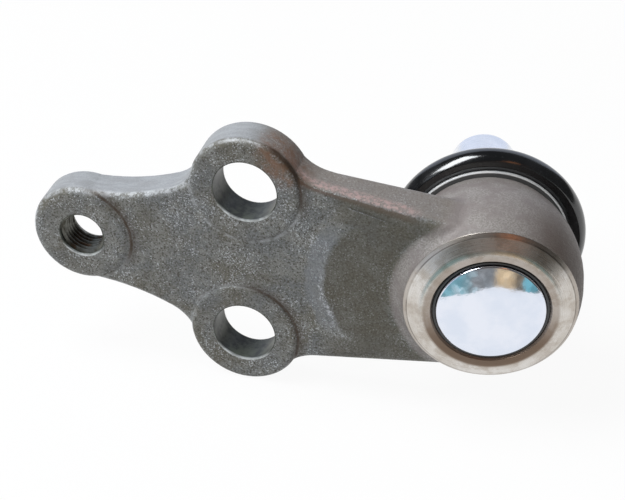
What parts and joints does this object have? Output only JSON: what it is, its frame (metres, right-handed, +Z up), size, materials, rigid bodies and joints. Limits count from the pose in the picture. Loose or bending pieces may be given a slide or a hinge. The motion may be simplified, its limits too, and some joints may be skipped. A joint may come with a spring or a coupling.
{
  "type": "suspension ball joint",
  "caption": "Forged suspension arm end with clamp holes and a tapped nose, and a ball housing holding a plain stud under a round rubber dust boot.",
  "frame": {"origin": "centre of the ball", "axes": "+Y along the stud, away from the closing cover; the arm reaches out towards -X; +Z is up, square to both, and the part is mirror-symmetric about the XY plane"},
  "size_m": [0.1424, 0.0736, 0.0722],
  "materials": {
    "forged_steel": "forged and sanded grey steel with a turned front",
    "stud_steel": "bright plated, turned",
    "bearing_plastic": "natural moulded plastic, satin",
    "spring_steel": "blued spring steel",
    "cover_chrome": "mirror-bright plating",
    "seal_rubber": "black, matt",
    "ring_steel": "bright zinc plating",
    "boot_rubber": "black, glossy",
    "sleeve_plastic": "natural moulded plastic",
    "clip_wire": "bright drawn wire"
  },
  "bodies": {
    "housing": {"forged_body": "forged_steel", "cover_plug": "cover_chrome", "cover_seal": "seal_rubber", "disc_spring": "spring_steel", "boot_base_ring": "ring_steel"},
    "bearing": {"bearing_shell": "bearing_plastic", "pressure_seat": "bearing_plastic", "dust_boot": "boot_rubber"},
    "collar": {"boot_neck_sleeve": "sleeve_plastic", "boot_clip_ring": "clip_wire"},
    "stud": {"ball_stud": "stud_steel"}
  },
  "joints": [
    {"name": "swing_direction", "type": "hinge", "parent": "housing", "child": "bearing", "pos_m": [0, 0, 0], "axis": [0, 1, 0], "range_deg": [-90, 90]},
    {"name": "swing", "type": "hinge", "parent": "bearing", "child": "collar", "pos_m": [0, 0, 0], "axis": [0, 0, 1], "range_deg": [-22, 22], "deforming": ["dust_boot"]},
    {"name": "spin", "type": "hinge", "parent": "collar", "child": "stud", "pos_m": [0, 0, 0], "axis": [0, 1, 0], "continuous": true}
  ]
}
